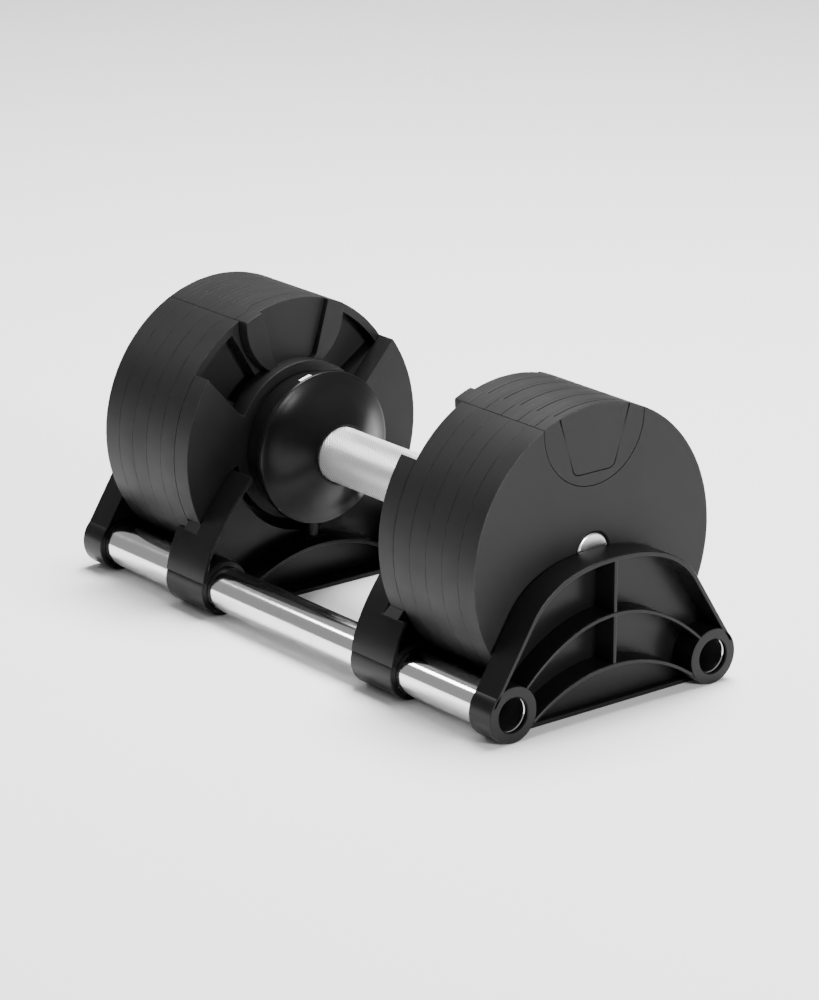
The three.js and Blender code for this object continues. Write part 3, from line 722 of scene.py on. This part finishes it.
class DUMBBELL_OT_end_plates(bpy.types.Operator):
    """Model the end plates that the handle carries, with their ears and towers"""

    bl_idname = "dumbbell.end_plates"
    bl_label = "End plates"

    disc: length("Disc radius", "Radius of the middle disc", 0.050)
    ear_top: bpy.props.FloatProperty(
        name="Ear top", default=54, description="Top of an ear, degrees")
    ear_low: bpy.props.FloatProperty(
        name="Ear foot", default=EAR_FOOT, description="Foot of an ear, degrees")

    def execute(self, context):
        plates = context.scene.dumbbell_plates
        x0 = GRIP_END + MM
        x1 = PLATE_X[0] - FIT
        half = arc(self.disc, 0, EAR_ROOT, 20) + [polar(self.disc + 4 * MM, EAR_ROOT)]
        half += arc(PLATE_R, self.ear_top, self.ear_low, 24)
        half += [polar(self.disc + 2 * MM, EAR_HEEL)] + arc(self.disc, EAR_HEEL, 180, 22)
        outline = half + flipped(half[1:-1])[::-1]
        plate = prism("end_plate", outline, x0, x1)
        inner, outer, front = 21.2 * MM, 25 * MM, x0 - 5.2 * MM
        bearing = turned("bearing_seat", [
            (inner, front), (outer, front), (outer, x0 + MM), (inner, x0 + MM)], steps=64)
        tower_x0, tower_x1 = x0 + 6.3 * MM, x1 + 5 * MM
        tower = prism("tower", key_outline(KEY_R, PLATE_R), tower_x0, tower_x1)
        seat = prism("seat", tongue_outline(plates.joint), tower_x0 - MM, tower_x1 + MM)
        tower = bevel(carve(tower, seat), 0.6 * MM, 2, 40)
        bore = 13.5 * MM
        carve(plate, turned("bore", [
            (0, x0 - MM), (bore, x0 - MM), (bore, x1 + MM), (0, x1 + MM)], steps=64, closed=False))
        plate = bevel(plate, 0.8 * MM, 3, 40)
        whole = join("end_plate", plate, bearing, tower)
        settle_pair(whole, "steel_end_plate_{side}", coated_steel(), "handle",
                    "end_plate_{side}")
        tongue = prism("tongue", tongue_outline(0, PLATE_R), low("tower_key_right").x,
                       tower_x1 + TONGUE_STEP)
        settle_pair(bevel(tongue, 0.5 * MM, 2, 40), "steel_tower_key_{side}", coated_steel(),
                    "handle", "tower_key_{side}")
        return {"FINISHED"}


# ---------------------------------------------------------------- handle, dials and collars
class DUMBBELL_OT_dials(bpy.types.Operator):
    """Model the flared dials that turn with the grip, and the fixed collars behind them"""

    bl_idname = "dumbbell.dials"
    bl_label = "Dials and collars"

    def execute(self, context):
        nose = low("dial_right").x
        back = high("dial_right").x
        rim = high("dial_right").y
        bore = GRIP_R + FIT
        flare = bezier([(bore + 1.6 * MM, nose), (25 * MM, nose + 3 * MM),
                        (36 * MM, nose + 11 * MM)], 14)
        flare += bezier([(36 * MM, nose + 11 * MM), (42 * MM, nose + 15.2 * MM),
                         (rim - 1.6 * MM, nose + 16.6 * MM)], 6)[1:]
        bead = [(rim - 0.55 * MM, nose + 17.2 * MM), (rim - 0.1 * MM, nose + 18.2 * MM),
                (rim - 0.1 * MM, nose + 20.9 * MM), (rim - 0.5 * MM, back - 0.8 * MM),
                (rim - 1.4 * MM, back), (rim - 4 * MM, back), (rim - 5 * MM, back - 1.5 * MM),
                (40 * MM, nose + 18.2 * MM), (32 * MM, nose + 13.2 * MM),
                (26 * MM, nose + 8.6 * MM), (bore + 4 * MM, nose + 7 * MM), (bore + 4 * MM, back)]
        dial = turned("dial", [(bore, nose + 0.4 * MM), (bore + 0.5 * MM, nose), *flare, *bead,
                               (bore, back)], steps=128)
        settle_pair(dial, "flared_dial_{side}", moulded_plastic(), "grip",
                    "dial_{side}")
        front = low("collar_right").x
        rear = high("collar_right").x
        outer = high("collar_right").y
        inner = bore + 0.9 * MM
        wall, face = 3.4 * MM, 2.8 * MM
        collar = turned("collar", [
            (inner, front), (outer - 1.6 * MM, front), (outer - 0.5 * MM, front + 0.4 * MM),
            (outer, front + 1.5 * MM), (outer, rear - 0.5 * MM), (outer - 0.5 * MM, rear),
            (outer - wall, rear), (outer - wall, front + face), (inner, front + face)], steps=128)
        room = 0.5 * MM
        half, top = 4.5 * MM, -36 * MM
        foot = low("lock_yoke_right").z - AXIS_Z - 2 * MM
        slot = prism("slot", [(-half, foot), (half, foot), (half, top), (-half, top)],
                     low("lock_yoke_right").x - room, high("lock_yoke_right").x + room)
        settle_pair(carve(collar, slot), "lock_collar_{side}", moulded_plastic(), "handle",
                    "collar_{side}")
        start, end = -20, -10
        mark_outline = arc(rim - 0.02 * MM, start, end, 8) + arc(rim - 0.6 * MM, end, start, 8)
        mark = prism("mark", mark_outline, nose + 18.3 * MM, nose + 20.8 * MM)
        settle_pair(mark, "index_mark_{side}", white_ink(), "grip", "")
        return {"FINISHED"}


class DUMBBELL_OT_steel(bpy.types.Operator):
    """Model the knurled grip, the selector rods and the cradle rods"""

    bl_idname = "dumbbell.steel"
    bl_label = "Grip and rods"

    def execute(self, context):
        chamfer = context.scene.dumbbell_steel.end_chamfer
        wall, edge = 2.2 * MM, 0.5 * MM
        half = [(GRIP_R, GRIP_END - edge), (GRIP_R - edge, GRIP_END), (GRIP_R - wall, GRIP_END)]
        grip = turned("knurled_grip", [(r, -x) for r, x in reversed(half)] + half, steps=128)
        settle(grip, knurled_steel(), "grip", ["grip_tube"])
        start, end = low("selector_rod_right").x, high("selector_rod_right").x
        rod = turned("rod", [
            (0, start), (ROD_R - chamfer, start), (ROD_R, start + chamfer), (ROD_R, end - 1.4 * MM),
            (ROD_R - 0.5 * MM, end - 0.6 * MM), (ROD_R - 1.5 * MM, end - 0.1 * MM),
            (2.6 * MM, end), (2.2 * MM, end - 0.5 * MM), (0, end - 1.8 * MM)],
            steps=96, closed=False)
        settle_pair(rod, "bright_rod_{side}", bright_steel(), "rod_{side}",
                    "selector_rod_{side}")
        reach = high("cradle_rod_rear").x
        for name, side in (("front", -1), ("rear", 1)):
            half = [(RAIL_BORE_R, reach - 0.5 * MM), (RAIL_BORE_R + 0.5 * MM, reach),
                    (RAIL_R - 0.8 * MM, reach), (RAIL_R, reach - 0.8 * MM)]
            profile = half + [(r, -x) for r, x in reversed(half)]
            rail = turned(f"chrome_rod_{name}", profile, (side * RAIL_Y, RAIL_Z), 96)
            settle(rail, chrome_plate(), "cradle", [f"cradle_rod_{name}"])
        return {"FINISHED"}


# ---------------------------------------------------------------- cradle
def boss_tools(x0, x1, radius):
    return [turned("bore", [(0, x0), (radius, x0), (radius, x1), (0, x1)], (side * RAIL_Y, RAIL_Z),
                   64, False) for side in (-1, 1)]


def sill(wall, x0, x1):
    """The strip along the floor between the two bosses."""
    half = RAIL_Y - wall
    return prism("sill", [(-half, FLOOR_Z), (half, FLOOR_Z), (half, FLOOR_Z + wall),
                          (-half, FLOOR_Z + wall)], x0, x1)


def low_rib():
    return arch(LOW_RIB_TOP, (32 * MM, LOW_RIB_TOP), (60 * MM, LOW_RIB_TOP - 20 * MM))


class DUMBBELL_OT_outer_brackets(bpy.types.Operator):
    """Model the ribbed arch brackets at both ends of the cradle"""

    bl_idname = "dumbbell.outer_brackets"
    bl_label = "Outer brackets"

    crown: length("Crown", "Top of the arch over the shaft axis", 0.003)

    def arch_top(self, inset):
        foot = (RAIL_Y + BOSS_R - 1.6 * MM - inset, RAIL_Z + 6.5 * MM)
        shoulder = (61 * MM - inset * 0.8, -21 * MM - inset * 0.6)
        control = (44 * MM - inset * 0.6, self.crown - inset)
        return arch(self.crown - inset, control, shoulder, [foot])

    def execute(self, context):
        moulds = context.scene.dumbbell_moulds
        x0, x1 = low("outer_bracket_right").x, high("outer_bracket_right").x
        foot_half = RAIL_Y - moulds.wall
        outline = self.arch_top(moulds.wall / 2) + [(-foot_half, FLOOR_Z), (foot_half, FLOOR_Z)]
        web = prism("web", outline, x0, x0 + WEB_T)
        web = carve(web, *boss_tools(x0 - MM, x0 + 2 * WEB_T, RAIL_R + RAIL_HOLE))
        flange = prism("flange", self.arch_top(0) + self.arch_top(moulds.wall)[::-1], x0, x1)
        mid_top = arch(MID_RIB_TOP, (34 * MM, MID_RIB_TOP), (66 * MM, MID_RIB_TOP - 30 * MM))
        mid = prism("mid_rib", band(mid_top, moulds.rib), x0 + MM, x1 - 0.2 * MM)
        bottom = prism("low_rib", band(low_rib(), moulds.rib), x0 + MM, x1 - 0.2 * MM)
        post = prism("centre_rib", [
            (-moulds.rib / 2, LOW_RIB_TOP - MM), (moulds.rib / 2, LOW_RIB_TOP - MM),
            (moulds.rib / 2, self.crown - MM), (-moulds.rib / 2, self.crown - MM)],
            x0 + MM, x1 - 0.6 * MM)
        strip = sill(moulds.wall, x0, x0 + 8 * MM)
        shells = [bevel(each, moulds.edge, 3, 40) for each in (flange, mid, bottom, post, strip)]
        lip = 3 * MM
        inner = RAIL_R + FIT
        for side in (-1, 1):
            shells.append(turned("boss", [
                (RAIL_BORE_R + 0.5 * MM, x1), (BOSS_R - 0.7 * MM, x1),
                (BOSS_R - 0.2 * MM, x1 - 0.2 * MM), (BOSS_R, x1 - 0.7 * MM),
                (BOSS_R, x0 + 0.6 * MM), (BOSS_R - 0.6 * MM, x0), (inner, x0),
                (inner, x1 - lip), (RAIL_BORE_R, x1 - lip), (RAIL_BORE_R, x1 - 0.5 * MM)],
                (side * RAIL_Y, RAIL_Z), 96))
        bracket = join("bracket", web, *shells)
        settle_pair(bracket, "arch_bracket_{side}", moulded_plastic(), "cradle",
                    "outer_bracket_{side}")
        return {"FINISHED"}


class DUMBBELL_OT_inner_brackets(bpy.types.Operator):
    """Model the saddle brackets under the collars, with their arms, ear ledges, bosses, rib and
    sill
    """

    bl_idname = "dumbbell.inner_brackets"
    bl_label = "Inner brackets"

    saddle: length("Saddle", "Radius of the cut-out round the collar", 0.056)
    shoulder: bpy.props.FloatProperty(
        name="Shoulder", default=-0.043, unit="LENGTH",
        description="Height of the bracket's shoulder from the shaft axis")

    def side(self, inset, steps=16):
        foot = (RAIL_Y + BOSS_R - 0.6 * MM - inset, RAIL_Z + 6 * MM)
        bend = (87.5 * MM - inset, -41 * MM)
        tip = (54.5 * MM - inset * 0.6, -8 * MM - inset)
        return bezier([foot, bend, tip], steps)

    def ear_ledge(self, x0, x1, sign):
        """A ledge just under the edge of the end plate's ear. sign is 1 for the rear."""
        foot = Vector(polar(PLATE_R, EAR_FOOT))
        heel = Vector(polar(52 * MM, EAR_HEEL))
        along = (foot - heel).normalized()
        down = Vector((-abs(along.y), -abs(along.x)))
        near, far = 0.3 * MM, 4.3 * MM
        corners = [heel + along * 5 * MM + down * near, heel + along * 5 * MM + down * far,
                   foot + along * 7 * MM + down * far, foot + along * 7 * MM + down * near]
        return prism("ledge", [(sign * y, z) for y, z in corners], x0, x1)

    def execute(self, context):
        moulds = context.scene.dumbbell_moulds
        x0, x1 = low("inner_bracket_right").x, high("inner_bracket_right").x
        upper = GRIP_END - 0.2 * MM
        web_x = upper - WEB_T
        foot_half = RAIL_Y - moulds.wall
        middle = self.side(moulds.wall / 2)
        tip = math.degrees(math.atan2(middle[-1][0], middle[-1][1]))
        outline = middle + arc(self.saddle, tip, 360 - tip, 48)[1:-1] + flipped(middle)[::-1]
        outline += [(-foot_half, FLOOR_Z), (foot_half, FLOOR_Z)]
        web = prism("web", outline, web_x, upper)
        web = carve(web, *boss_tools(web_x - MM, upper + MM, RAIL_R + RAIL_HOLE))
        shells = [bevel(web, moulds.edge, 2, 40)]
        arm = self.side(0) + self.side(moulds.wall)[::-1]
        reach = 100 * MM
        for sign in (-1, 1):
            wide = prism("arm", [(sign * y, z) for y, z in arm], x0, x1)
            above = prism("above", [(-reach, self.shoulder), (reach, self.shoulder), (reach, 0),
                                    (-reach, 0)], upper, x1 + MM)
            shells.append(bevel(carve(wide, above), moulds.edge, 3, 40))
            shells.append(bevel(self.ear_ledge(web_x, x1 - 6 * MM, sign), moulds.edge, 2, 40))
            inner = RAIL_R + FIT
            shells.append(turned("boss", [
                (inner, x0), (BOSS_R - 0.7 * MM, x0), (BOSS_R - 0.2 * MM, x0 + 0.2 * MM),
                (BOSS_R, x0 + 0.7 * MM), (BOSS_R, x1 - 0.7 * MM), (BOSS_R - 0.7 * MM, x1),
                (inner, x1)], (sign * RAIL_Y, RAIL_Z), 96))
        rib = prism("rib", band(low_rib(), moulds.rib), x0, upper - MM)
        shells.append(bevel(rib, moulds.edge, 3, 40))
        shells.append(bevel(sill(moulds.wall, x0, upper - MM), moulds.edge, 2, 40))
        bracket = join("bracket", *shells)
        settle_pair(bracket, "saddle_bracket_{side}", moulded_plastic(), "cradle",
                    "inner_bracket_{side}")
        return {"FINISHED"}


class DUMBBELL_OT_finish_frame(bpy.types.Operator):
    """Give the pieces that are shown as the frame has them their finishes"""

    bl_idname = "dumbbell.finish_frame"
    bl_label = "Finish the frame's own pieces"

    def execute(self, context):
        slots = {entry["node"]: entry["material_slot"] for entry in frame["record"]["subparts"]}
        for name, node in frame["nodes"].items():
            if node.hide_render:
                continue
            node.data.materials.clear()
            node.data.materials.append(SLOT_FINISHES[slots[name]]())
        return {"FINISHED"}


# ---------------------------------------------------------------- stage
class DUMBBELL_OT_stage(bpy.types.Operator):
    """Make the pale floor, the soft lights and the camera"""

    bl_idname = "dumbbell.stage"
    bl_label = "Floor, lights and camera"

    distance: length("Distance", "From the camera to the middle of the shaft", 2.524)
    azimuth: bpy.props.FloatProperty(
        name="Azimuth", default=38.51, description="Station, degrees from +X towards the front")
    elevation: bpy.props.FloatProperty(
        name="Elevation", default=18.04, description="Station, degrees")
    lens: bpy.props.FloatProperty(
        name="Lens", default=152, description="Focal length, millimetres")

    def execute(self, context):
        self.make_floor()
        self.make_lights(context)
        self.make_camera(context)
        return {"FINISHED"}

    def make_floor(self):
        deselect()
        bpy.ops.mesh.primitive_plane_add(size=14, location=(0, 0, 0))
        floor = bpy.context.object
        floor.name = "studio_floor"
        material, sockets, place = new_material("pale_floor", Metallic=0.0)
        cloud = place.noise(1.4, 3.0)
        feed(sockets, Base_Color=cloud.blend((0.90, 0.895, 0.89, 1), (0.93, 0.925, 0.92, 1)),
             Roughness=0.62 + 0.08 * cloud)
        floor.data.materials.append(material)

    def make_lights(self, context):
        world = bpy.data.worlds.new("studio_world")
        world.use_nodes = True
        background = world.node_tree.nodes["Background"]
        background.inputs["Color"].default_value = (0.95, 0.95, 0.96, 1)
        background.inputs["Strength"].default_value = 0.36
        context.scene.world = world
        lamps = (
            ("overhead_softbox", (-0.2, 0.5, 2.1), 1.4, 165.0),
            ("front_left_softbox", (-1.6, -0.9, 1.5), 0.4, 6.0),
            ("right_softbox", (2.3, 0.25, 0.75), 0.5, 62.0),
        )
        for name, place, size, power in lamps:
            bpy.ops.object.light_add(type="AREA", location=place)
            lamp = context.object
            lamp.name = name
            lamp.data.shape = "DISK"
            lamp.data.size = size
            lamp.data.energy = power
            aim = Vector((0, 0, AXIS_Z)) - Vector(place)
            lamp.rotation_euler = aim.to_track_quat("-Z", "Y").to_euler()

    def make_camera(self, context):
        turn, rise = math.radians(self.azimuth), math.radians(self.elevation)
        target = Vector((0, 0, AXIS_Z))
        station = target + self.distance * Vector((
            math.cos(rise) * math.cos(turn), -math.cos(rise) * math.sin(turn), math.sin(rise)))
        aim_at = Vector((0.012, 0.0, AXIS_Z - 0.012))
        camera = bpy.data.objects.new("studio_camera", bpy.data.cameras.new("studio_camera"))
        context.scene.collection.objects.link(camera)
        camera.location = station
        camera.rotation_euler = (aim_at - station).to_track_quat("-Z", "Y").to_euler()
        camera.data.lens = self.lens
        camera.data.sensor_width = 36
        camera.data.clip_end = 50
        context.scene.camera = camera


OPERATORS = (
    DUMBBELL_OT_plates,
    DUMBBELL_OT_end_plates,
    DUMBBELL_OT_dials,
    DUMBBELL_OT_steel,
    DUMBBELL_OT_outer_brackets,
    DUMBBELL_OT_inner_brackets,
    DUMBBELL_OT_finish_frame,
    DUMBBELL_OT_stage,
)


class DUMBBELL_PT_panel(bpy.types.Panel):
    """Lists the pieces and their sizes"""

    bl_label = "Adjustable dumbbell"
    bl_idname = "DUMBBELL_PT_panel"
    bl_space_type = "VIEW_3D"
    bl_region_type = "UI"
    bl_category = "Dumbbell"

    def draw(self, context):
        for group in GROUPS:
            settings = getattr(context.scene, group)
            for name in settings.__annotations__:
                self.layout.prop(settings, name)
        for operator in OPERATORS:
            self.layout.operator(operator.bl_idname)


CLASSES = (*GROUPS.values(), *OPERATORS, DUMBBELL_PT_panel)


def register():
    for each in CLASSES:
        bpy.utils.register_class(each)
    for name, group in GROUPS.items():
        setattr(bpy.types.Scene, name, bpy.props.PointerProperty(type=group))


def unregister():
    for name in GROUPS:
        delattr(bpy.types.Scene, name)
    for each in reversed(CLASSES):
        bpy.utils.unregister_class(each)


def plain(box):
    return [[float(value) for value in corner] for corner in box]


def main():
    register()
    bpy.ops.dumbbell.plates()
    bpy.ops.dumbbell.end_plates()
    bpy.ops.dumbbell.dials()
    bpy.ops.dumbbell.steel()
    bpy.ops.dumbbell.outer_brackets()
    bpy.ops.dumbbell.inner_brackets()
    bpy.ops.dumbbell.finish_frame()
    bpy.ops.dumbbell.stage()


if __name__ == "__main__":
    main()
